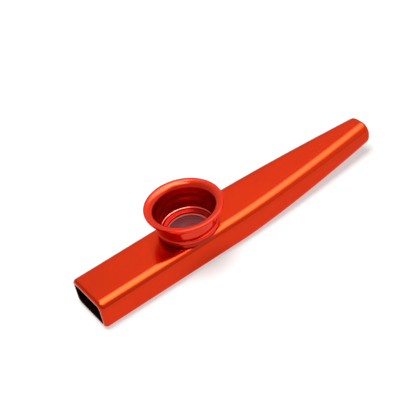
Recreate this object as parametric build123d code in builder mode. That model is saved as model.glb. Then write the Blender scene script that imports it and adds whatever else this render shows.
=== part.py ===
"""A metal kazoo: a drawn aluminium tube with a screw-on horn that clamps a membrane over a hole in its roof.

Millimetres. +X runs from the wide end to the narrow tip, +Z is up and the underside rests on z = 0.
The origin is below the middle of the tube's length, in its plane of symmetry.
"""

import os

from build123d import *

# Tube
body_length = 120.0
body_width = 18.7
body_height = 11.2
body_wall = 0.8
body_corner = 3.0
end_roll = 1.3
mouth_step = 0.75
taper_length = 62.6
tip_width = 10.1
tip_corner = 4.0
tip_underside_lift = 3.3
tip_roof_rise = 1.0
taper_station_count = 9
width_taper_power = 1.54
underside_taper_power = 1.4
roof_taper_power = 1.3

# Fits
fit_clearance = 0.1
bond_gap = 0.05
ring_play = 0.05
skirt_gap = 0.1
shoulder_gap = 0.15

# Membrane and its hoop
turret_from_wide_end = 41.4
film_view_radius = 6.75
film_thickness = 0.06
film_edge_margin = 0.1
hoop_width = 0.85
hoop_height = 0.4

# Collar in the roof hole
seat_depth = 0.55
ledge_width = 1.1
ledge_thickness = 0.6
spigot_wall = 0.45
flange_thickness = 0.4
collar_height = 1.85
collar_wall = 0.5
collar_undercut = 0.8
collar_undercut_height = 0.6

# Pressure ring, trapped in the foot of the horn
ring_wall = 0.35
ring_neck_step = 0.7
ring_catch = 0.5
ring_flange_thickness = 0.35
ring_mouth_margin = 0.05
ring_floor = 0.15
ring_dish_fall = 0.18
ring_turn_up_width = 0.53
lip_thickness = 0.25
horn_ledge_thickness = 0.3
horn_ledge_width = 0.3

# Thread between horn and collar
skirt_wall = 0.4
thread_pitch = 0.75
thread_depth = 0.3
thread_clearance = 0.1
thread_root_width = 0.4
thread_crest_width = 0.16
thread_start_gap = 0.1
thread_bury = 0.05

# Horn above the collar
turret_height = 10.8
mouth_radius = 10.0
horn_wall = 0.7
waist_wall = 0.85
rim_edge = 0.6
rim_land = 0.2
flare_radius = 2.6
flare_height = 2.9
band_height = 1.55
band_proud = 0.74
band_edge_share = 0.9
groove_height = 0.35
groove_depth = 0.1

# Places along the tube
wide_end_x = -body_length / 2
tip_x = body_length / 2
taper_x = tip_x - taper_length
turret_x = wide_end_x + turret_from_wide_end
mouth_inset = body_wall + mouth_step

# Radii of the turret, from the film outwards
hoop_radius = film_view_radius + hoop_width
film_radius = hoop_radius - film_edge_margin
seat_bore_radius = hoop_radius + fit_clearance
ledge_radius = seat_bore_radius - ledge_width
spigot_radius = seat_bore_radius + spigot_wall
roof_hole_radius = spigot_radius + bond_gap
ring_tube_radius = seat_bore_radius - fit_clearance
ring_bore_radius = ring_tube_radius - ring_wall
ring_neck_radius = ring_tube_radius + ring_neck_step
lip_bore_radius = ring_neck_radius + fit_clearance
ring_flange_radius = lip_bore_radius + ring_catch
skirt_bore_radius = ring_flange_radius + fit_clearance
horn_ledge_radius = skirt_bore_radius - horn_ledge_width
ring_mouth_radius = horn_ledge_radius - ring_mouth_margin
ring_dish_radius = ring_mouth_radius - ring_turn_up_width
thread_root_radius = skirt_bore_radius + skirt_wall
thread_crest_radius = thread_root_radius + thread_depth
nut_root_radius = thread_crest_radius + thread_clearance
collar_radius = nut_root_radius + collar_wall
collar_foot_radius = collar_radius - collar_undercut

# Heights of the turret, from the roof upwards
roof_z = body_height
seat_z = roof_z - seat_depth
spigot_foot_z = seat_z - ledge_thickness
film_top_z = seat_z + film_thickness
hoop_top_z = film_top_z + hoop_height
collar_floor_z = roof_z + flange_thickness
collar_top_z = roof_z + collar_height
skirt_foot_z = collar_floor_z + skirt_gap
lip_top_z = skirt_foot_z + lip_thickness
ring_bore_top_z = skirt_foot_z + ring_floor
ring_dish_z = ring_bore_top_z + ring_dish_fall
ring_flange_z = lip_top_z + ring_play
ring_top_z = ring_flange_z + ring_flange_thickness
horn_ledge_z = ring_top_z + ring_play
bore_foot_z = horn_ledge_z + horn_ledge_thickness
shoulder_z = collar_top_z + shoulder_gap
band_top_z = shoulder_z + band_height
groove_top_z = band_top_z + groove_height
rim_top_z = roof_z + turret_height
flare_z = rim_top_z - flare_radius
under_rim_z = rim_top_z - 2 * rim_edge

# Radii of the horn, whose bore widens evenly from the skirt to the mouth
bore_widening_share = (groove_top_z - shoulder_z) / (flare_z - shoulder_z)
waist_bore_radius = skirt_bore_radius + (mouth_radius - skirt_bore_radius) * bore_widening_share
waist_radius = waist_bore_radius + waist_wall
waist_top_radius = mouth_radius + horn_wall
groove_radius = waist_radius - groove_depth
band_radius = groove_radius + band_proud
band_edge = band_proud * band_edge_share
flare_top_radius = mouth_radius + flare_radius
rim_edge_radius = flare_top_radius + rim_land
waist_top_z = under_rim_z - flare_height

# Thread run, level with itself in horn and collar and half a turn apart
thread_start_z = skirt_foot_z + thread_start_gap + thread_root_width / 2
thread_end_z = collar_top_z - thread_start_gap - thread_root_width / 2
thread_height = thread_end_z - thread_start_z
half_turn = 180

turret_axis = Axis((turret_x, 0, 0), (0, 0, 1))
turret_section = Plane(origin=(turret_x, 0, 0), x_dir=(1, 0, 0), z_dir=(0, -1, 0))


def tube_section(x, inset):
    """The tube's section at x, drawn in by inset all round: a rounded rectangle that shrinks towards the tip."""
    share = max(0, (x - taper_x) / taper_length)
    width = body_width + (tip_width - body_width) * share**width_taper_power
    underside = tip_underside_lift * share**underside_taper_power
    roof = roof_z + tip_roof_rise * share**roof_taper_power
    corner = body_corner + (tip_corner - body_corner) * share
    middle = (x, 0, (underside + roof) / 2)
    with BuildSketch(Plane(origin=middle, x_dir=(0, 1, 0), z_dir=(1, 0, 0))) as section:
        RectangleRounded(width - 2 * inset, roof - underside - 2 * inset, corner - inset)
    return section.sketch


def tube_solid(inset):
    """The tube's straight run and its taper with rolled-in ends, all drawn in by inset."""
    run = taper_length - inset
    station_xs = [taper_x + run * i / (taper_station_count - 1) for i in range(taper_station_count)]
    with BuildPart() as solid:
        extrude(tube_section(wide_end_x + inset, inset), amount=taper_x - wide_end_x - inset)
        loft([tube_section(x, inset) for x in station_xs])
        ends = solid.faces().sort_by(Axis.X)
        fillet(ends[0].edges() + ends[-1].edges(), end_roll - inset)
    return solid.part


def thread_ridge(base_radius, outward, start_angle):
    """A helical ridge on the turret's axis, standing outward (1) from a bolt or inward (-1) from a nut."""
    bury_radius = base_radius - outward * thread_bury
    crest_radius = base_radius + outward * thread_depth
    with BuildPart() as ridge:
        with BuildLine():
            path = Helix(thread_pitch, thread_height, bury_radius, center=(0, 0, thread_start_z))
        with BuildSketch(Plane(origin=(0, 0, thread_start_z), x_dir=(1, 0, 0), z_dir=(0, -1, 0))):
            with BuildLine():
                Polyline(
                    (bury_radius, -thread_root_width / 2),
                    (crest_radius, -thread_crest_width / 2),
                    (crest_radius, thread_crest_width / 2),
                    (bury_radius, thread_root_width / 2),
                    close=True,
                )
            make_face()
        sweep(path=path, is_frenet=True)
    return Pos(turret_x, 0, 0) * Rot(0, 0, start_angle) * ridge.part


# Body tube: its edges roll in to an open mouth at each end, and the collar's round hole is in the roof
tube_outside = tube_solid(0)
tube_inside = tube_solid(body_wall)
with BuildPart() as body_tube:
    add(tube_outside)
    add(tube_inside, mode=Mode.SUBTRACT)
    extrude(tube_section(wide_end_x, mouth_inset), amount=end_roll, mode=Mode.SUBTRACT)
    extrude(tube_section(tip_x, mouth_inset), amount=-end_roll, mode=Mode.SUBTRACT)
    with BuildSketch(Plane(origin=(turret_x, 0, body_height / 2))):
        Circle(roof_hole_radius)
    extrude(amount=body_height, mode=Mode.SUBTRACT)
body_tube.part.label = "body_tube"

# Turret collar: spigot in the roof hole, ledge for the membrane, flange on the roof and a threaded cup
collar_thread = thread_ridge(nut_root_radius, -1, half_turn)
with BuildPart() as turret_collar:
    with BuildSketch(turret_section):
        with BuildLine():
            Polyline(
                (ledge_radius, spigot_foot_z),
                (spigot_radius, spigot_foot_z),
                (spigot_radius, roof_z),
                (collar_foot_radius, roof_z),
                (collar_radius, roof_z + collar_undercut_height),
                (collar_radius, collar_top_z),
                (nut_root_radius, collar_top_z),
                (nut_root_radius, collar_floor_z),
                (seat_bore_radius, collar_floor_z),
                (seat_bore_radius, seat_z),
                (ledge_radius, seat_z),
                close=True,
            )
        make_face()
    revolve(axis=turret_axis)
    add(collar_thread)
turret_collar.part.label = "turret_collar"

# Membrane film: a thin disc that lies on the ledge, under its hoop
with BuildPart() as membrane_film:
    with BuildSketch(Plane(origin=(turret_x, 0, seat_z))):
        Circle(film_radius)
    extrude(amount=film_thickness)
membrane_film.part.label = "membrane_film"

# Membrane hoop: the stiff flat ring that the film is bonded to
with BuildPart() as membrane_hoop:
    with BuildSketch(Plane(origin=(turret_x, 0, film_top_z))):
        Circle(hoop_radius)
        Circle(film_view_radius, mode=Mode.SUBTRACT)
    extrude(amount=hoop_height)
membrane_hoop.part.label = "membrane_hoop"

# Pressure ring: a short tube that stands on the hoop and opens in a dish to a flange, which the horn presses down
with BuildPart() as pressure_ring:
    with BuildSketch(turret_section):
        with BuildLine():
            Polyline(
                (ring_dish_radius, ring_dish_z),
                (ring_bore_radius, ring_bore_top_z),
                (ring_bore_radius, hoop_top_z),
                (ring_tube_radius, hoop_top_z),
                (ring_tube_radius, skirt_foot_z),
                (ring_neck_radius, skirt_foot_z),
                (ring_neck_radius, ring_flange_z),
                (ring_flange_radius, ring_flange_z),
                (ring_flange_radius, ring_top_z),
                (ring_mouth_radius, ring_top_z),
            )
            TangentArc(
                (ring_dish_radius, ring_dish_z),
                (ring_mouth_radius, ring_top_z),
                tangent=(ring_dish_radius - ring_bore_radius, ring_dish_fall),
            )
        make_face()
    revolve(axis=turret_axis)
pressure_ring.part.label = "pressure_ring"

# Horn cup: threaded skirt that traps the ring, then the bead, a groove, the waist and the flared rim
horn_thread = thread_ridge(thread_root_radius, 1, 0)
with BuildPart() as horn_cup:
    with BuildSketch(turret_section):
        with BuildLine():
            Polyline(
                (mouth_radius, flare_z),
                (skirt_bore_radius, shoulder_z),
                (skirt_bore_radius, bore_foot_z),
                (horn_ledge_radius, bore_foot_z),
                (horn_ledge_radius, horn_ledge_z),
                (skirt_bore_radius, horn_ledge_z),
                (skirt_bore_radius, lip_top_z),
                (lip_bore_radius, lip_top_z),
                (lip_bore_radius, skirt_foot_z),
                (thread_root_radius, skirt_foot_z),
                (thread_root_radius, shoulder_z),
                (band_radius - band_edge, shoulder_z),
            )
            TangentArc(
                (band_radius - band_edge, shoulder_z),
                (band_radius, shoulder_z + band_edge),
                tangent=(1, 0),
            )
            Line((band_radius, shoulder_z + band_edge), (band_radius, band_top_z - band_edge))
            TangentArc(
                (band_radius, band_top_z - band_edge),
                (band_radius - band_edge, band_top_z),
                tangent=(0, 1),
            )
            Polyline(
                (band_radius - band_edge, band_top_z),
                (groove_radius, band_top_z),
                (groove_radius, groove_top_z),
                (waist_radius, groove_top_z),
                (waist_top_radius, waist_top_z),
            )
            TangentArc(
                (waist_top_radius, waist_top_z),
                (rim_edge_radius, under_rim_z),
                tangent=(waist_top_radius - waist_radius, waist_top_z - groove_top_z),
            )
            TangentArc((rim_edge_radius, under_rim_z), (rim_edge_radius, rim_top_z), tangent=(1, 0))
            Line((rim_edge_radius, rim_top_z), (flare_top_radius, rim_top_z))
            TangentArc((flare_top_radius, rim_top_z), (mouth_radius, flare_z), tangent=(-1, 0))
        make_face()
    revolve(axis=turret_axis)
    add(horn_thread)
horn_cup.part.label = "horn_cup"

os.makedirs("parts", exist_ok=True)
for piece in (body_tube, turret_collar, membrane_film, membrane_hoop, pressure_ring, horn_cup):
    export_step(piece.part, f"parts/{piece.part.label}.step")
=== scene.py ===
"""Looks of a drawn metal kazoo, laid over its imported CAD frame.

Lengths are metres in the CAD's frame: +X runs from the wide end to the tip, +Z is up and the
underside rests on z = 0. The outline tables are in millimetres, as on a turner's drawing.
"""

import math
from functools import partial

import bmesh
import bpy
import numpy as np
from bpy.props import FloatProperty, FloatVectorProperty, PointerProperty
from mathutils import Matrix, Vector


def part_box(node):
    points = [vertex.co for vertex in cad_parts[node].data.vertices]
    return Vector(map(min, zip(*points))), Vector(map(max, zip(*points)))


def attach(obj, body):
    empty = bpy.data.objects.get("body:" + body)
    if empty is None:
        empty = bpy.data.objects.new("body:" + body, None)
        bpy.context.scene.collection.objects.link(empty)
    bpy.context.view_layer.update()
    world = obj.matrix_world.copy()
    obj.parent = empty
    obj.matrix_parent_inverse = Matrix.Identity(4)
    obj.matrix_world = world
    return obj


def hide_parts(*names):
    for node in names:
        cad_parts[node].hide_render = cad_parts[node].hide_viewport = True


bl_info = {
    "name": "Kazoo Looks",
    "version": (1, 0, 0),
    "blender": (4, 5, 0),
    "location": "3D View > Sidebar > Kazoo",
    "description": "Makes the visible pieces of a metal kazoo over its CAD frame, and their stage",
    "category": "Object",
}

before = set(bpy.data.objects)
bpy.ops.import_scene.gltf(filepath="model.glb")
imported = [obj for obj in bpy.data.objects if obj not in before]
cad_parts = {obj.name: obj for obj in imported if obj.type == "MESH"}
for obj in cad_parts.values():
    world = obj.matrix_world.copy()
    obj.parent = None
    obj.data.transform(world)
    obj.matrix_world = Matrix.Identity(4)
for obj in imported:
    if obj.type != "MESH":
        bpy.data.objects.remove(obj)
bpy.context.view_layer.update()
tube_low, tube_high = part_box("body_tube")
horn_low, horn_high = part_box("horn_cup")

MM = 0.001
AXIS_X = (horn_low.x + horn_high.x) / 2

# How finely the surfaces are divided
ARC_STEPS = 9
SUPPORT_SHARE = 0.1
AROUND = 240
LONGEST_TURNED = 0.3 * MM
LONGEST_ON_HORN = LONGEST_TURNED / 2
LONGEST_ON_COLLAR = LONGEST_TURNED / 6
LONGEST_DRAWN = 1.0 * MM
SECTION_ARC_STEPS = 16
SECTION_SIDE_SHARES = (0.015, 0.2, 0.4, 0.6, 0.8, 0.985)
FILM_DIVISIONS = 96
WALL_TOLERANCE = 0.001 * MM
SHARP_EDGE = math.radians(40)

# Finishes of the tube's rows and of the horn's rows, in the order of their materials
# The tube's inside finish is near-black, as painted shade.
DYED, SAWN, SHADED_INSIDE = range(3)
# The horn's dull bore is dyed deeper, as painted shade.
# The horn's ledge edge is pale, as a painted highlight.
POLISHED, DULL_PAINTED_SHADE, LEDGE_PAINTED_HIGHLIGHT = range(3)

# The dyed layer tints the metal under it at every angle, so grazing angles turn less white
EDGE_TINT = (1, 0.5, 0.45, 1)
WHITE = (1, 1, 1, 1)

# Creases of the film: height, waves across and along in radians a film radius, phase, and how
# far the wave sways from side to side
CREASES = (
    (1.0, 9.0, 2.0, 0.0, 0.6),
    (0.8, 3.5, -11.0, 1.3, 0.0),
    (0.6, 17.0, 9.0, 2.2, 0.0),
)
SWAY_ALONG = 5.0

# Lights hung over the kazoo: place, and size along X and Y, in metres
SOFTBOX = (0.54, -0.02, 1.20), (1.12, 1.90)
STRIP = (-0.25, -0.28, 1.20), (0.62, 0.58)
KEY = (-0.10, -0.01, 1.00), (0.54, 0.54)
SOFTBOX_SPREAD = math.radians(112)
KEY_SPREAD = math.radians(180)

# Way to the bright side of the room that the metal mirrors, and the camera's sensor in millimetres
BRIGHT_WAY = (1.6, 0.5, 1)
SENSOR_WIDTH = 36

# Corners of the turned outlines: radius, height and rounding in millimetres
HORN_OUTLINE = (
    (10.42, 22.00, 2.55),  # mouth flare
    (9.00, 13.20, 0.80),  # foot of the tapered bore
    (9.00, 12.70, 0.02),  # above the ledge
    (8.70, 12.70, 0.26),  # rounded ledge over the pressure ring
    (8.70, 12.40, 0.02),
    (9.00, 12.40, 0.04),  # recess that the ring's flange sits in
    (9.00, 11.95, 0.04),
    (8.40, 11.95, 0.05),  # lip under the flange
    (8.40, 11.70, 0.05),
    (9.40, 11.70, 0.12),  # foot of the threaded skirt
    (9.40, 13.20, 0.08),
    (10.796, 13.20, 0.66),  # bead
    (10.796, 14.75, 0.66),
    (10.056, 14.75, 0.04),  # groove above the bead
    (10.056, 15.10, 0.03),
    (10.156, 15.10, 0.03),  # waist
    (11.076, 19.837, 4.00),  # under the flare
    (12.80, 20.80, 0.20),
    (13.395, 20.80, 0.53),  # rolled rim
    (13.395, 22.00, 0.28),
)
RING_OUTLINE = (
    (7.25, 11.11, 0.08),  # foot on the hoop
    (7.60, 11.11, 0.08),
    (7.60, 11.70, 0.04),
    (8.30, 11.70, 0.05),  # neck through the horn's lip
    (8.30, 12.00, 0.04),
    (8.90, 12.00, 0.06),  # flange
    (8.90, 12.35, 0.06),
    (8.65, 12.35, 0.04),
    (8.46, 12.03, 0.15),  # where the dish turns up to the flange
    (7.25, 11.85, 0.10),  # inner edge of the dish
)
COLLAR_OUTLINE = (
    (6.60, 10.05, 0.06),  # spigot in the roof hole
    (8.15, 10.05, 0.08),
    (8.15, 11.20, 0.03),
    (9.50, 11.20, 0.06),  # foot of the flange
    (10.30, 11.80, 0.20),  # outside of the threaded wall
    (10.30, 13.05, 0.14),
    (9.80, 13.05, 0.10),
    (9.80, 11.60, 0.06),
    (7.70, 11.60, 0.06),  # well that the membrane drops into
    (7.70, 10.65, 0.03),
    (6.60, 10.65, 0.06),  # ledge under the film
)
HOOP_OUTLINE = (
    (6.75, 10.71, 0.06),
    (7.60, 10.71, 0.06),
    (7.60, 11.11, 0.12),
    (6.75, 11.11, 0.12),
)


def linear(hex_colour):
    """Linear red, green and blue of an sRGB hex value."""
    srgb = np.array([int(hex_colour[i : i + 2], 16) for i in (1, 3, 5)]) / 255
    curve = np.where(srgb <= 0.04045, srgb / 12.92, ((srgb + 0.055) / 1.055) ** 2.4)
    return tuple(float(channel) for channel in curve)


def length(name, description, default):
    """A length property in metres."""
    return FloatProperty(
        name=name, description=description, default=default, unit="LENGTH", precision=5
    )


def angle(name, description, degrees):
    """An angle property whose default is in degrees."""
    return FloatProperty(
        name=name, description=description, default=math.radians(degrees), subtype="ANGLE"
    )


def number(name, description, default):
    """A plain number that a user may change."""
    return FloatProperty(name=name, description=description, default=default)


def colour(name, description, hex_colour):
    """A colour property whose default is an sRGB hex value."""
    return FloatVectorProperty(
        name=name,
        description=description,
        default=linear(hex_colour),
        size=3,
        subtype="COLOR",
        min=0,
        max=1,
    )


class KazooTube(bpy.types.PropertyGroup):
    """Sizes of the drawn tube."""

    height: length("Height", "Height of the straight run", 11.2 * MM)
    wall: length("Wall", "Thickness of the metal", 0.8 * MM)
    corner: length("Corner", "Outside corner radius of the straight run", 3.0 * MM)
    taper: length("Taper", "Length of the tapered run", 62.6 * MM)
    tip_width: length("Tip Width", "Width at the narrow end", 10.1 * MM)
    tip_corner: length("Tip Corner", "Outside corner radius at the narrow end", 4.0 * MM)
    tip_lift: length("Tip Lift", "Rise of the underside at the narrow end", 3.3 * MM)
    tip_rise: length("Tip Rise", "Rise of the roof at the narrow end", 1.0 * MM)
    width_power: number("Width Power", "How late the width narrows along the taper", 1.54)
    underside_power: number("Underside Power", "How late the underside rises along the taper", 1.4)
    roof_power: number("Roof Power", "How late the roof rises along the taper", 1.3)
    hole: length("Roof Hole", "Radius of the hole under the horn", 8.2 * MM)
    end_roll: length("End Roll", "Radius that both ends are rolled in to", 1.3 * MM)
    mouth_inset: length("Mouth Inset", "From the outside in to the mouth at both ends", 1.55 * MM)
    cut_edge: length("Cut Edge", "Rounding of the deburred edges of the mouths", 0.06 * MM)


class KazooHorn(bpy.types.PropertyGroup):
    """Sizes in the horn's bore, where turning left rings."""

    ring_depth: length("Ring Depth", "Depth of the rings in the bore", 0.055 * MM)
    ring_spacing: length("Ring Spacing", "Distance between the rings in the bore", 3.2 * MM)
    ledge: length("Ledge", "Height of the ledge's middle", 12.55 * MM)
    ledge_height: length("Ledge Height", "Thickness of the ledge over the ring", 0.32 * MM)
    # The bright-cut edge is painted pale as a highlight line.
    ledge_edge: length("Ledge Edge", "From the bore's foot in to the bright-cut edge", 0.02 * MM)
    # The dull bore is also dyed deeper, as painted shade inside the cup.
    bore_edge: length("Bore Edge", "How far out on the flare the dull bore reaches", 0.15 * MM)


class KazooThread(bpy.types.PropertyGroup):
    """Sizes of the thread between horn and collar."""

    pitch: length("Pitch", "Climb of the thread in one turn", 0.75 * MM)
    depth: length("Depth", "Height of the ridge", 0.3 * MM)
    root: length("Root Width", "Width of the ridge at its foot", 0.4 * MM)
    crest: length("Crest Width", "Width of the ridge at its top", 0.16 * MM)
    start: length("Start", "Height of the ridge's middle where it starts", 12.0 * MM)
    turns: number("Turns", "Turns from start to end", 1.0)
    fade: number("Fade", "Turns in which the ridge rises at its ends", 0.04)
    skirt: length("Skirt", "Radius of the horn's wall that the thread stands on", 9.4 * MM)
    collar: length("Collar", "Radius of the collar's wall that the thread stands on", 9.8 * MM)


class KazooMembrane(bpy.types.PropertyGroup):
    """Sizes of the film."""

    radius: length("Radius", "Radius of the film as cut", 7.5 * MM)
    free_radius: length("Free Radius", "Radius in which the film hangs free", 6.5 * MM)
    thickness: length("Thickness", "Thickness of the film", 0.05 * MM)
    crinkle: length("Crinkle", "Height of the creases from stretching", 0.05 * MM)
    ease: number("Ease", "Share of the free radius in which the creases die away", 0.25)


class KazooFinish(bpy.types.PropertyGroup):
    """Colours of the finishes. Some copies of the dye are lightened or deepened as painted light
    and painted shade.
    """

    dye: colour("Dye", "Red-orange dye in the anodised layer of the tube", "#CC2D03")
    # Brighter than the tube's dye: partly the polish of the turned pieces, partly painted light for
    # the brighter floor that the horn mirrors.
    turned_dye: colour("Turned Dye", "The same dye on the turned pieces", "#D62A08")
    # The ledge's pale colour paints the highlight line along the edge over the ring.
    ledge: colour("Ledge", "Bright-cut edge of the ledge over the ring", "#E0806E")
    # Deeper than the horn's dye: painted shade inside the cup.
    bore_shaded_dye: colour("Bore Dye", "The same dye, deeper, in the horn's dull bore", "#C01A08")
    # Deeper than the horn's dye: painted shade at the bottom of the cup.
    ring: colour("Ring", "The same dye, deeper, on the pressure ring", "#931406")
    # The collar's dark red paints the shade in the gap under the horn's bead.
    collar: colour("Collar", "Dark red dye on the collar", "#9C1806")
    # The near-black inside of the tube is painted shade.
    bore: colour("Bore", "Dull oxide inside the tube", "#240604")
    bare: colour("Bare Metal", "Bare aluminium at the cut ends", "#D9D6D3")
    # The hoop's dim red tone is painted shade, for the red light deep in the cup.
    hoop: colour("Hoop", "Moulded plastic of the membrane's hoop", "#B05A52")
    film: colour("Film", "Stretched film", "#74292D")
    paper: colour("Paper", "Floor that the kazoo lies on", "#C5CBCB")


class KazooStage(bpy.types.PropertyGroup):
    """Camera, light and floor."""

    azimuth: angle("Azimuth", "Camera bearing from the front", -29.09)
    elevation: angle("Elevation", "Camera height", 39.90)
    roll: angle("Roll", "Camera tilt", -11.76)
    distance: length("Distance", "From the camera to the point it looks at", 350.32 * MM)
    target: FloatVectorProperty(
        name="Target",
        description="Point on the floor at the middle of the picture",
        default=(-0.81 * MM, 20.29 * MM, 0),
        subtype="TRANSLATION",
    )
    lens: number("Lens", "Focal length on a 36 mm sensor, in millimetres", 87.0)
    softbox: number("Softbox", "Brightness from below of the lights that the metal mirrors", 10.8)
    key: number("Key", "Brightness of the smaller light that throws the shadow", 12.9)
    even_light: number("Even Light", "Strength of the even light from all round", 0.1)
    room: number("Room", "Brightness of the dim side of the room that the metal mirrors", 0.58)
    paper_width: length("Paper Width", "Side of the square floor", 6.0)
    paper_glow: number("Paper Glow", "Glow of the paper by the kazoo, where 1 is white", 0.53)
    fade_start: length("Fade Start", "Where the paper starts to fade into the white", 0.08)
    fade_end: length("Fade End", "Where the paper is all white", 0.4)


class KazooSettings(bpy.types.PropertyGroup):
    """Everything that a user may change."""

    tube: PointerProperty(type=KazooTube)
    horn: PointerProperty(type=KazooHorn)
    thread: PointerProperty(type=KazooThread)
    membrane: PointerProperty(type=KazooMembrane)
    finish: PointerProperty(type=KazooFinish)
    stage: PointerProperty(type=KazooStage)


def rounded_outline(corners):
    """Closed outline, in metres, through corners given in millimetres, each with its rounding.

    Each corner becomes an arc tangent to both its sides. It starts rounding * tan(turn / 2) before
    the corner and sweeps the turn: start + rounding * (sin(a) * along + (1 - cos(a)) * inward). One
    more point on each side, just beyond the arc's ends, keeps the shading of the sides flat.
    """
    table = np.array(corners) * MM
    corner, rounding = table[:, :2], table[:, None, 2:]
    ahead = np.roll(corner, -1, 0) - corner
    side = np.linalg.norm(ahead, axis=1, keepdims=True)
    ahead /= side
    along = np.roll(ahead, 1, 0)
    cross = along[:, 0] * ahead[:, 1] - along[:, 1] * ahead[:, 0]
    turn = np.arctan2(cross, (along * ahead).sum(1))[:, None, None]
    inward = np.sign(turn) * np.stack([-along[:, 1], along[:, 0]], 1)[:, None]
    ahead, along = ahead[:, None], along[:, None]
    sweep = np.abs(turn) * np.linspace(0, 1, ARC_STEPS + 1)[None, :, None]
    reach = rounding * np.tan(np.abs(turn) / 2)
    start = corner[:, None] - along * reach
    arc = start + rounding * (np.sin(sweep) * along + (1 - np.cos(sweep)) * inward)
    third = (side[:, None] - reach - np.roll(reach, -1, 0)) / 3
    before = arc[:, :1] - along * np.minimum(rounding * SUPPORT_SHARE, np.roll(third, 1, 0))
    after = arc[:, -1:] + ahead * np.minimum(rounding * SUPPORT_SHARE, third)
    return np.concatenate([before, arc, after], 1).reshape(-1, 2)


def refined(outline, longest):
    """The closed outline with even points added on each stretch that is longer than `longest`."""
    step = np.roll(outline, -1, 0) - outline
    count = np.maximum(1, np.ceil(np.linalg.norm(step, axis=1) / longest)).astype(int)
    owner = np.repeat(np.arange(len(outline)), count)
    first = np.repeat(np.cumsum(count) - count, count)
    place = (np.arange(len(owner)) - first) / count[owner]
    return outline[owner] + step[owner] * place[:, None]


def grid_mesh(name, points, closed, finish=None):
    """Object of quads between neighbours in a (rows, columns, 3) grid, with a finish for each row.

    A closed grid joins up both ways.
    """
    index = np.arange(points.shape[0] * points.shape[1]).reshape(points.shape[:2])
    if closed:
        index = np.pad(index, ((0, 1), (0, 1)), mode="wrap")
    corners = index[:-1, :-1], index[:-1, 1:], index[1:, 1:], index[1:, :-1]
    quads = np.stack(corners, -1).reshape(-1, 4)
    mesh = bpy.data.meshes.new(name)
    mesh.vertices.add(points.shape[0] * points.shape[1])
    mesh.vertices.foreach_set("co", points.astype(np.float32).ravel())
    mesh.loops.add(quads.size)
    mesh.loops.foreach_set("vertex_index", quads.astype(np.int32).ravel())
    mesh.polygons.add(len(quads))
    mesh.polygons.foreach_set("loop_start", np.arange(0, quads.size, 4, dtype=np.int32))
    mesh.update(calc_edges=True)
    mesh.shade_smooth()
    if finish is not None:
        rows = np.repeat(finish.astype(np.int32), points.shape[1])
        mesh.polygons.foreach_set("material_index", rows)
    piece = bpy.data.objects.new(name, mesh)
    bpy.context.scene.collection.objects.link(piece)
    return piece


def thread_ridge(thread, outward, start_bearing, bearing, height):
    """How far the thread stands outward (1) or inward (-1) at each bearing and height on a wall.

    The ridge's middle climbs one pitch a turn. Its section is a trapezium, 1 within half the crest
    width of the middle and 0 beyond half the root width, and it fades in and out at its two ends.
    """
    passes = np.arange(math.ceil(thread.turns))[:, None, None]
    climb = (bearing - start_bearing) / (2 * np.pi) % 1 + passes
    away = np.abs(height - thread.start - thread.pitch * climb)
    slope = (thread.root - thread.crest) / 2
    section = np.clip((thread.root / 2 - away) / slope, 0, 1)
    ends = np.clip(np.minimum(climb, thread.turns - climb) / thread.fade, 0, 1)
    return outward * thread.depth * (section * ends).max(0)


def turned_points(outline, wall=None, ridge=None):
    """Grid of an outline turned about the horn's axis: (axis + r * cos(b), r * sin(b), z).

    On points that lie on the wall radius, r grows by what the ridge says, which may be negative.
    """
    bearing = np.linspace(0, 2 * np.pi, AROUND, endpoint=False)[None]
    radius, height = outline[:, :1], outline[:, 1:]
    if ridge is not None:
        on_wall = np.isclose(radius, wall, atol=WALL_TOLERANCE)
        radius = radius + on_wall * ridge(bearing, height)
    x, y = AXIS_X + radius * np.cos(bearing), radius * np.sin(bearing)
    return np.stack([x, y, height + 0 * bearing], -1)


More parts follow.
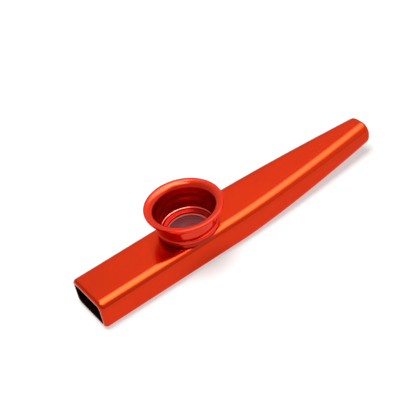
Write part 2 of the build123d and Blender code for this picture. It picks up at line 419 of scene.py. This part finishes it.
def tube_points(tube):
    """Grid over the tube, one row a section, and the finish of each row.

    The rows run along the outside, roll in round the tip's end, pass its mouth, run back along the
    inside and come out round the wide end. A section is a rounded rectangle: corner centre +
    (corner radius - inset) * direction. The direction turns by a quarter at each corner, and the
    centre slides to the next corner along each side. Sizes change along the taper by powers of the
    share of it that is behind. A row is outside where it reaches as far from the centre of the
    end's roll as the roll's radius, and sawn where it lies further in than the roll.
    """
    wide, tip = tube_low.x / MM, tube_high.x / MM
    wall, roll = tube.wall / MM, tube.end_roll / MM
    mouth, cut = tube.mouth_inset / MM, tube.cut_edge / MM
    path = (
        (wide, 0, roll),
        (tip, 0, roll),
        (tip, mouth, cut),
        (tip - wall, mouth, cut),
        (tip - wall, wall, roll - wall),
        (wide + wall, wall, roll - wall),
        (wide + wall, mouth, cut),
        (wide, mouth, cut),
    )
    path = refined(rounded_outline(path), LONGEST_DRAWN)
    middle = (path + np.roll(path, -1, 0)) / 2
    from_end = np.minimum(middle[:, 0] - tube_low.x, tube_high.x - middle[:, 0])
    into_end = np.maximum(tube.end_roll - from_end, 0)
    into_side = np.maximum(tube.end_roll - middle[:, 1], 0)
    outside = np.hypot(into_end, into_side) > tube.end_roll - 2 * tube.cut_edge
    sawn = middle[:, 1] > tube.end_roll
    # Rows inside the tube take the near-black painted shade.
    finish = np.where(outside, np.where(sawn, SAWN, DYED), SHADED_INSIDE)
    x, inset = path[:, :1], path[:, 1:]
    behind = np.clip((x - tube_high.x + tube.taper) / tube.taper, 0, 1)
    run_width = tube_high.y - tube_low.y
    width = run_width + (tube.tip_width - run_width) * behind**tube.width_power
    underside = tube.tip_lift * behind**tube.underside_power
    roof = tube.height + tube.tip_rise * behind**tube.roof_power
    corner = tube.corner + (tube.tip_corner - tube.corner) * behind
    arc = np.linspace(0, 1, SECTION_ARC_STEPS + 1)
    sides = np.array(SECTION_SIDE_SHARES)
    turn = np.append(arc, np.ones(len(sides)))[None]
    slide = np.append(np.zeros(len(arc)), sides)[None]
    to_y, to_z = np.array([[1], [-1], [-1], [1]]), np.array([[1], [1], [-1], [-1]])
    direction = ((np.arange(4)[:, None] + turn) * np.pi / 2).reshape(1, -1)
    centre_y = (to_y + (np.roll(to_y, -1, 0) - to_y) * slide).reshape(1, -1)
    centre_z = (to_z + (np.roll(to_z, -1, 0) - to_z) * slide).reshape(1, -1)
    half_width, half_height = width / 2 - corner, (roof - underside) / 2 - corner
    y = centre_y * half_width + (corner - inset) * np.cos(direction)
    z = (roof + underside) / 2 + centre_z * half_height + (corner - inset) * np.sin(direction)
    return np.stack([x + 0 * y, y, z], -1), finish


def ringed_bore(outline, horn):
    """The horn's outline with shallow rings in the wall of its bore, and the finish of each row.

    On the wall the radius is r + depth * fade * sin(2 pi z / spacing). The fade, sin(pi * up) with
    the share of the wall's height that is below, ends the rings before the flare and the foot.
    """
    flare, foot = np.array(HORN_OUTLINE)[:2, :2] * MM
    radius, height = outline.T
    up = (height - foot[1]) / (flare[1] - foot[1])
    wall = foot[0] + (flare[0] - foot[0]) * up
    on_wall = (radius < wall + horn.bore_edge) & (up > 0) & (up < 1)
    wave = np.sin(2 * np.pi * height / horn.ring_spacing)
    rings = horn.ring_depth * np.sin(np.pi * up) * wave
    by_ledge = np.abs(height - horn.ledge) < horn.ledge_height / 2
    # The ledge's edge rows are painted pale, as a highlight line.
    on_ledge = (radius < foot[0] - horn.ledge_edge) & by_ledge
    # The bore wall rows are dyed deeper, as painted shade.
    finish = np.select([on_wall, on_ledge], [DULL_PAINTED_SHADE, LEDGE_PAINTED_HIGHLIGHT], POLISHED)
    return np.stack([radius + on_wall * rings, height], 1), finish


def film_points(membrane, middle):
    """Square grid squeezed into a disc, with creases.

    The square's (a, b) goes to (a * sqrt(1 - b * b / 2), b * sqrt(1 - a * a / 2)). The creases are
    crossing waves that die away before the ledge, where the film is clamped flat.
    """
    side = np.linspace(-1, 1, FILM_DIVISIONS + 1)
    a, b = np.meshgrid(side, side, indexing="ij")
    across, along = a * np.sqrt(1 - b * b / 2), b * np.sqrt(1 - a * a / 2)
    sway = np.sin(SWAY_ALONG * along)
    waves = sum(
        height * np.sin(turn_across * across + turn_along * along + phase + swing * sway)
        for height, turn_across, turn_along, phase, swing in CREASES
    )
    out = np.hypot(across, along) * membrane.radius / membrane.free_radius
    free = np.clip((1 - out) / membrane.ease, 0, 1)
    drop = membrane.crinkle / 2 * waves * free * free * (3 - 2 * free)
    x, y = AXIS_X + membrane.radius * across, membrane.radius * along
    return np.stack([x, y, middle + drop], -1)


def add_node(tree, kind, sockets, **options):
    """Adds a node, sets its options, and gives each named input a value or a link."""
    node = tree.nodes.new(kind)
    for option, value in options.items():
        setattr(node, option, value)
    for socket, value in sockets.items():
        if isinstance(value, bpy.types.NodeSocket):
            tree.links.new(value, node.inputs[socket])
        else:
            node.inputs[socket].default_value = value
    return node


def new_material(name):
    """An empty node material, its node tree and the place on the object."""
    material = bpy.data.materials.new(name)
    material.use_nodes = True
    tree = material.node_tree
    tree.nodes.clear()
    return material, tree, add_node(tree, "ShaderNodeTexCoord", {}).outputs["Object"]


def drift(tree, place, size, detail, least, most):
    """A number that drifts between two limits over patches of about the given size."""
    patches = {"Vector": place, "Scale": 1 / size, "Detail": detail}
    noise = add_node(tree, "ShaderNodeTexNoise", patches)
    limits = {"Value": noise.outputs["Fac"], "To Min": least, "To Max": most}
    return add_node(tree, "ShaderNodeMapRange", limits).outputs["Result"]


def clouded(tree, place, tone, size, least, most):
    """A colour whose brightness drifts between two shares of its own."""
    brightness = drift(tree, place, size, detail=2.0, least=least, most=most)
    cloud = {"Color": (*tone, 1), "Value": brightness}
    return add_node(tree, "ShaderNodeHueSaturation", cloud).outputs["Color"]


def ray_kinds(tree):
    """1 on the camera's rays, and 1 on rays that metal mirrors or film lets through."""
    path = add_node(tree, "ShaderNodeLightPath", {})
    mirrored = add_node(
        tree,
        "ShaderNodeMath",
        {0: path.outputs["Is Glossy Ray"], 1: path.outputs["Is Transmission Ray"]},
        operation="MAXIMUM",
    )
    return path.outputs["Is Camera Ray"], mirrored.outputs[0]


def drawn_anodised_aluminium(dye):
    """Drawn tube, etched and anodised: a satin gloss, smeared a little along the draw marks.

    The draw marks are about 0.1 mm apart, too fine for the picture, so they are drawn 0.45 mm apart
    and 40 mm long. The etched grain is 0.4 mm, and the dye is cloudy over 12 mm.
    """
    material, tree, place = new_material("drawn_anodised_aluminium")
    marks_a_metre = (1 / (40 * MM), 1 / (0.45 * MM), 1 / (0.45 * MM))
    stretch = add_node(tree, "ShaderNodeMapping", {"Vector": place, "Scale": marks_a_metre})
    marks = add_node(
        tree,
        "ShaderNodeTexNoise",
        {"Vector": stretch.outputs[0], "Scale": 1.0, "Detail": 3.0},
    )
    bump = add_node(
        tree,
        "ShaderNodeBump",
        {"Strength": 0.05, "Distance": 0.02 * MM, "Height": marks.outputs["Fac"]},
    )
    shader = add_node(
        tree,
        "ShaderNodeBsdfPrincipled",
        {
            "Base Color": clouded(tree, place, dye, size=12 * MM, least=0.93, most=1.05),
            "Metallic": 1.0,
            "Roughness": drift(tree, place, size=0.4 * MM, detail=2.0, least=0.16, most=0.20),
            "Normal": bump.outputs["Normal"],
            "Coat Weight": 0.15,
            "Specular Tint": EDGE_TINT,
            "Coat Roughness": 0.10,
        },
    )
    add_node(tree, "ShaderNodeOutputMaterial", {"Surface": shader.outputs[0]})
    return material


def turned_anodised_aluminium(name, dye, roughest):
    """Turned on a lathe, then anodised, with fine rings left by the tool. On the horn its dye is
    brighter than the tube's, partly as painted light; in the bore, on the ring and on the collar it
    is deeper, as painted shade.

    The rings are about 0.05 mm apart, too fine for the picture, so they are drawn 0.25 mm apart.
    They follow the distance from the axis on flat faces and the height on walls. The dye is cloudy
    over 6 mm.
    """
    material, tree, place = new_material(name)
    centred = add_node(
        tree, "ShaderNodeMapping", {"Vector": place, "Location": (-AXIS_X, 0, 0)}
    )
    parts = add_node(tree, "ShaderNodeSeparateXYZ", {"Vector": centred.outputs[0]})
    x, y, z = (parts.outputs[axis] for axis in "XYZ")
    flat = add_node(tree, "ShaderNodeCombineXYZ", {"X": x, "Y": y})
    radius = add_node(tree, "ShaderNodeVectorMath", {0: flat.outputs[0]}, operation="LENGTH")
    turned = add_node(tree, "ShaderNodeCombineXYZ", {"X": radius.outputs["Value"], "Z": z})
    rings = add_node(
        tree,
        "ShaderNodeTexNoise",
        {"Vector": turned.outputs[0], "Scale": 1 / (0.25 * MM), "Detail": 2.0},
    )
    gloss = add_node(
        tree,
        "ShaderNodeMapRange",
        {"Value": rings.outputs["Fac"], "To Min": roughest / 2, "To Max": roughest},
    )
    bump = add_node(
        tree,
        "ShaderNodeBump",
        {"Strength": 0.08, "Distance": 0.02 * MM, "Height": rings.outputs["Fac"]},
    )
    shader = add_node(
        tree,
        "ShaderNodeBsdfPrincipled",
        {
            "Base Color": clouded(tree, place, dye, size=6 * MM, least=0.94, most=1.04),
            "Metallic": 1.0,
            "Roughness": gloss.outputs["Result"],
            "Normal": bump.outputs["Normal"],
            "Coat Weight": 0.3,
            "Specular Tint": EDGE_TINT,
            "Coat Roughness": 0.08,
        },
    )
    add_node(tree, "ShaderNodeOutputMaterial", {"Surface": shader.outputs[0]})
    return material


def dark_inside_painted_shade(tone):
    """Inside of the drawn tube: dull and uneven, and painted dark as the shade inside it.

    Its streaks are 0.8 mm apart and 20 mm long.
    """
    material, tree, place = new_material("dark_inside_painted_shade")
    streaks_a_metre = (1 / (20 * MM), 1 / (0.8 * MM), 1 / (0.8 * MM))
    stretch = add_node(tree, "ShaderNodeMapping", {"Vector": place, "Scale": streaks_a_metre})
    rough = drift(tree, stretch.outputs[0], size=1.0, detail=2.0, least=0.5, most=0.75)
    shader = add_node(
        tree,
        "ShaderNodeBsdfPrincipled",
        {
            "Base Color": (*tone, 1),
            "Metallic": 0.6,
            "Roughness": rough,
            "Specular IOR Level": 0.2,
        },
    )
    add_node(tree, "ShaderNodeOutputMaterial", {"Surface": shader.outputs[0]})
    return material


def sawn_bare_aluminium(tone):
    """Cut after anodising and deburred: pale bare metal with saw marks 0.15 mm apart."""
    material, tree, place = new_material("sawn_bare_aluminium")
    marks_a_metre = (1 / (2 * MM), 1 / (2 * MM), 1 / (0.15 * MM))
    stretch = add_node(tree, "ShaderNodeMapping", {"Vector": place, "Scale": marks_a_metre})
    rough = drift(tree, stretch.outputs[0], size=1.0, detail=2.0, least=0.3, most=0.5)
    shader = add_node(
        tree,
        "ShaderNodeBsdfPrincipled",
        {"Base Color": (*tone, 1), "Metallic": 1.0, "Roughness": rough},
    )
    add_node(tree, "ShaderNodeOutputMaterial", {"Surface": shader.outputs[0]})
    return material


def hoop_plastic_painted_red_shade(tone):
    """Polystyrene moulding: softly glossy, with a faint cloudiness over 1.5 mm. Its pale red tone
    is darkened and reddened to paint the dim red light deep in the cup.
    """
    material, tree, place = new_material("hoop_plastic_painted_red_shade")
    shader = add_node(
        tree,
        "ShaderNodeBsdfPrincipled",
        {
            "Base Color": clouded(tree, place, tone, size=1.5 * MM, least=0.92, most=1.03),
            "Roughness": 0.35,
            "IOR": 1.59,
        },
    )
    add_node(tree, "ShaderNodeOutputMaterial", {"Surface": shader.outputs[0]})
    return material


def stretched_film(tone):
    """Cast film under tension: red-brown and half see-through, its sheen broken by creases.

    How much shows through it changes over patches of 2 mm.
    """
    material, tree, place = new_material("stretched_film")
    shader = add_node(
        tree,
        "ShaderNodeBsdfPrincipled",
        {
            "Base Color": (*tone, 1),
            "Roughness": 0.4,
            "IOR": 1.64,
            "Specular IOR Level": 0.25,
            "Alpha": drift(tree, place, size=2 * MM, detail=3.0, least=0.5, most=0.72),
        },
    )
    add_node(tree, "ShaderNodeOutputMaterial", {"Surface": shader.outputs[0]})
    return material


def matt_paper(tone, stage):
    """Seamless paper: matt and white.

    It fades into the white behind it away from the kazoo, and keeps the kazoo's shadow. The glow
    that whitens it is seen on camera, glossy and transmission rays, and lights nothing.
    """
    material, tree, place = new_material("matt_paper")
    away = add_node(tree, "ShaderNodeVectorMath", {0: place}, operation="LENGTH")
    fade = add_node(
        tree,
        "ShaderNodeMapRange",
        {
            "Value": away.outputs["Value"],
            "From Min": stage.fade_start,
            "From Max": stage.fade_end,
            "To Min": stage.paper_glow,
            "To Max": 1.0,
        },
        interpolation_type="SMOOTHSTEP",
    )
    camera, mirrored = ray_kinds(tree)
    seen = add_node(tree, "ShaderNodeMath", {0: camera, 1: mirrored}, operation="MAXIMUM")
    glow = add_node(
        tree,
        "ShaderNodeMath",
        {0: fade.outputs["Result"], 1: seen.outputs[0]},
        operation="MULTIPLY",
    )
    shader = add_node(
        tree,
        "ShaderNodeBsdfPrincipled",
        {
            "Base Color": (*tone, 1),
            "Roughness": 0.9,
            "Specular IOR Level": 0.1,
            "Emission Color": WHITE,
            "Emission Strength": glow.outputs[0],
        },
    )
    add_node(tree, "ShaderNodeOutputMaterial", {"Surface": shader.outputs[0]})
    return material


def settle(piece, body, node, slot, *materials):
    """Gives a piece its finish and puts it in its node's place on a body."""
    for material in materials:
        piece.data.materials.append(material)
    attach(piece, body)
    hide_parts(node)


def cut_round_hole(piece, radius, low, high, finish):
    """Cuts an upright round hole on the horn's axis through a piece, and finishes its wall."""
    shape = bmesh.new()
    bmesh.ops.create_cone(
        shape,
        cap_ends=True,
        segments=AROUND,
        radius1=radius,
        radius2=radius,
        depth=high - low,
        matrix=Matrix.Translation((AXIS_X, 0, (low + high) / 2)),
    )
    for face in shape.faces:
        face.material_index = finish
    mesh = bpy.data.meshes.new("hole_cutter")
    shape.to_mesh(mesh)
    shape.free()
    cutter = bpy.data.objects.new("hole_cutter", mesh)
    bpy.context.scene.collection.objects.link(cutter)
    cut = piece.modifiers.new("roof_hole", "BOOLEAN")
    cut.operation, cut.solver, cut.object = "DIFFERENCE", "EXACT", cutter
    whole = piece.data
    holed = piece.evaluated_get(bpy.context.evaluated_depsgraph_get())
    piece.data = bpy.data.meshes.new_from_object(holed)
    piece.data.name = piece.name
    piece.modifiers.clear()
    bpy.data.objects.remove(cutter)
    bpy.data.meshes.remove(mesh)
    bpy.data.meshes.remove(whole)


class KAZOO_OT_body_tube(bpy.types.Operator):
    """Make the drawn tube with its rolled ends and its roof hole"""

    bl_idname = "kazoo.body_tube"
    bl_label = "Body Tube"

    def execute(self, context):
        kazoo = context.scene.kazoo
        tube = kazoo.tube
        points, finish = tube_points(tube)
        piece = grid_mesh("tube", points, closed=True, finish=finish)
        for material in (
            drawn_anodised_aluminium(kazoo.finish.dye),
            sawn_bare_aluminium(kazoo.finish.bare),
            dark_inside_painted_shade(kazoo.finish.bore),
        ):
            piece.data.materials.append(material)
        cut_round_hole(piece, tube.hole, tube.height / 2, tube.height * 1.5, SAWN)
        piece.data.set_sharp_from_angle(angle=SHARP_EDGE)
        settle(piece, "body", "body_tube", "anodised_tube")
        return {"FINISHED"}


class KAZOO_OT_turret_collar(bpy.types.Operator):
    """Make the threaded collar on the roof"""

    bl_idname = "kazoo.turret_collar"
    bl_label = "Turret Collar"

    def execute(self, context):
        kazoo = context.scene.kazoo
        outline = refined(rounded_outline(COLLAR_OUTLINE), LONGEST_ON_COLLAR)
        ridge = partial(thread_ridge, kazoo.thread, -1, np.pi)
        points = turned_points(outline, kazoo.thread.collar, ridge)
        piece = grid_mesh("collar", points, closed=True)
        # Darker than the tube's dye, to paint the shade in the gap under the bead.
        dark = turned_anodised_aluminium(
            "turned_collar_painted_shade", kazoo.finish.collar, roughest=0.3
        )
        settle(piece, "body", "turret_collar", "anodised_collar", dark)
        return {"FINISHED"}


class KAZOO_OT_membrane(bpy.types.Operator):
    """Make the film and the hoop that it is bonded to"""

    bl_idname = "kazoo.membrane"
    bl_label = "Membrane"

    def execute(self, context):
        kazoo = context.scene.kazoo
        membrane = kazoo.membrane
        outline = refined(rounded_outline(HOOP_OUTLINE), LONGEST_TURNED)
        hoop = grid_mesh("hoop", turned_points(outline), closed=True)
        plastic = hoop_plastic_painted_red_shade(kazoo.finish.hoop)
        settle(hoop, "body", "membrane_hoop", "hoop_plastic", plastic)
        low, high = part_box("membrane_film")
        film = grid_mesh("film", film_points(membrane, (low.z + high.z) / 2), closed=False)
        skin = film.modifiers.new("thickness", "SOLIDIFY")
        skin.thickness, skin.offset = membrane.thickness, 0
        settle(film, "body", "membrane_film", "film", stretched_film(kazoo.finish.film))
        return {"FINISHED"}


class KAZOO_OT_pressure_ring(bpy.types.Operator):
    """Make the ring that presses the membrane down"""

    bl_idname = "kazoo.pressure_ring"
    bl_label = "Pressure Ring"

    def execute(self, context):
        kazoo = context.scene.kazoo
        outline = refined(rounded_outline(RING_OUTLINE), LONGEST_TURNED)
        piece = grid_mesh("ring", turned_points(outline), closed=True)
        # The ring's deeper dye paints the shade at the bottom of the cup.
        deep = turned_anodised_aluminium("turned_ring_painted_shade", kazoo.finish.ring, roughest=0.45)
        settle(piece, "ring", "pressure_ring", "anodised_ring", deep)
        return {"FINISHED"}


class KAZOO_OT_horn_cup(bpy.types.Operator):
    """Make the flared horn with its threaded skirt"""

    bl_idname = "kazoo.horn_cup"
    bl_label = "Horn Cup"

    def execute(self, context):
        kazoo = context.scene.kazoo
        dyes = kazoo.finish
        outline = refined(rounded_outline(HORN_OUTLINE), LONGEST_ON_HORN)
        outline, finish = ringed_bore(outline, kazoo.horn)
        ridge = partial(thread_ridge, kazoo.thread, 1, 0)
        points = turned_points(outline, kazoo.thread.skirt, ridge)
        piece = grid_mesh("horn", points, closed=True, finish=finish)
        polished = turned_anodised_aluminium(
            "turned_anodised_horn", dyes.turned_dye, roughest=0.26
        )
        # The bore's deeper dye paints the shade inside the cup.
        bore = turned_anodised_aluminium("turned_bore_painted_shade", dyes.bore_shaded_dye, roughest=0.4)
        # Pale, to paint the highlight line along the ledge's edge.
        ledge = turned_anodised_aluminium("ledge_painted_highlight", dyes.ledge, roughest=0.3)
        settle(piece, "horn", "horn_cup", "anodised_horn", polished, bore, ledge)
        return {"FINISHED"}


def set_paper(tone, stage):
    """A wide sheet of paper under the kazoo: a square of four points."""
    side = np.array([-0.5, 0.5]) * stage.paper_width
    a, b = np.meshgrid(side, side, indexing="ij")
    paper = grid_mesh("paper", np.stack([a, b, 0 * a], -1), closed=False)
    paper.data.materials.append(matt_paper(tone, stage))
    paper.data.flip_normals()


def set_world(scene, stage):
    """White behind the kazoo, dimmer in front of it where the room is, and a low even light."""
    world = bpy.data.worlds.new("studio")
    scene.world = world
    world.use_nodes = True
    tree = world.node_tree
    tree.nodes.clear()
    way = add_node(tree, "ShaderNodeTexCoord", {}).outputs["Generated"]
    toward = add_node(
        tree, "ShaderNodeVectorMath", {0: way, 1: BRIGHT_WAY}, operation="DOT_PRODUCT"
    )
    room = add_node(
        tree,
        "ShaderNodeMapRange",
        {"Value": toward.outputs["Value"], "To Min": stage.room, "To Max": 1.0},
    )
    camera, mirrored = ray_kinds(tree)
    unseen = add_node(
        tree, "ShaderNodeMix", {0: mirrored, 2: stage.even_light, 3: room.outputs["Result"]}
    )
    strength = add_node(tree, "ShaderNodeMix", {0: camera, 2: unseen.outputs[0], 3: 1.0})
    back = add_node(
        tree, "ShaderNodeBackground", {"Color": WHITE, "Strength": strength.outputs[0]}
    )
    add_node(tree, "ShaderNodeOutputWorld", {"Surface": back.outputs[0]})


def hung_light(name, place, size, spread, brightness):
    """A level oval light over the kazoo, evenly bright when seen from straight below.

    With a spread under 180 degrees it dims towards the edges of the spread, and Blender raises its
    middle by 1 / (1 - h / tan(h)), where h is half the spread. The energy takes that back out.
    """
    lamp = bpy.data.lights.new(name, "AREA")
    lamp.shape, lamp.size, lamp.size_y = "ELLIPSE", size[0], size[1]
    lamp.spread = spread
    half = lamp.spread / 2
    area = math.pi / 4 * size[0] * size[1]
    lamp.energy = brightness * math.pi * area * (1 - half / math.tan(half))
    light = bpy.data.objects.new(name, lamp)
    light.location = place
    light.visible_camera = False
    bpy.context.scene.collection.objects.link(light)
    return light


def set_camera(scene, stage):
    """Camera whose back axis has the view's bearing and height, turned about it by the roll."""
    turn, rise, roll = stage.azimuth, stage.elevation, stage.roll
    out = math.cos(rise)
    back = Vector((math.sin(turn) * out, -math.cos(turn) * out, math.sin(rise)))
    level = Vector((math.cos(turn), math.sin(turn), 0))
    upright = back.cross(level)
    right = math.cos(roll) * level + math.sin(roll) * upright
    up = math.cos(roll) * upright - math.sin(roll) * level
    lens = bpy.data.cameras.new("view")
    lens.lens, lens.sensor_width = stage.lens, SENSOR_WIDTH
    camera = bpy.data.objects.new("view", lens)
    camera.matrix_world = (
        Matrix.Translation(Vector(stage.target) + back * stage.distance)
        @ Matrix((right, up, back)).transposed().to_4x4()
    )
    scene.collection.objects.link(camera)
    scene.camera = camera
    scene.view_settings.view_transform = "Standard"


class KAZOO_OT_stage(bpy.types.Operator):
    """Set the paper, the light and the camera"""

    bl_idname = "kazoo.stage"
    bl_label = "Stage"

    def execute(self, context):
        scene = context.scene
        stage = scene.kazoo.stage
        set_paper(scene.kazoo.finish.paper, stage)
        set_world(scene, stage)
        set_camera(scene, stage)
        for name, light in (("softbox", SOFTBOX), ("strip", STRIP)):
            mirrored = hung_light(name, *light, SOFTBOX_SPREAD, stage.softbox)
            mirrored.visible_diffuse = False
        key = hung_light("key", *KEY, KEY_SPREAD, stage.key)
        key.visible_glossy = False
        return {"FINISHED"}


class KAZOO_PT_pieces(bpy.types.Panel):
    """Lists the kazoo's pieces"""

    bl_idname = "KAZOO_PT_pieces"
    bl_label = "Kazoo"
    bl_space_type = "VIEW_3D"
    bl_region_type = "UI"
    bl_category = "Kazoo"

    def draw(self, context):
        for operator in OPERATORS:
            self.layout.operator(operator.bl_idname)


GROUPS = (
    KazooTube,
    KazooHorn,
    KazooThread,
    KazooMembrane,
    KazooFinish,
    KazooStage,
    KazooSettings,
)
OPERATORS = (
    KAZOO_OT_body_tube,
    KAZOO_OT_turret_collar,
    KAZOO_OT_membrane,
    KAZOO_OT_pressure_ring,
    KAZOO_OT_horn_cup,
    KAZOO_OT_stage,
)


def register():
    for item in (*GROUPS, *OPERATORS, KAZOO_PT_pieces):
        bpy.utils.register_class(item)
    bpy.types.Scene.kazoo = PointerProperty(type=KazooSettings)


def unregister():
    del bpy.types.Scene.kazoo
    for item in reversed((*GROUPS, *OPERATORS, KAZOO_PT_pieces)):
        bpy.utils.unregister_class(item)


def main():
    """Makes every piece and the stage."""
    register()
    bpy.ops.kazoo.body_tube()
    bpy.ops.kazoo.turret_collar()
    bpy.ops.kazoo.membrane()
    bpy.ops.kazoo.pressure_ring()
    bpy.ops.kazoo.horn_cup()
    bpy.ops.kazoo.stage()


if __name__ == "__main__":
    main()
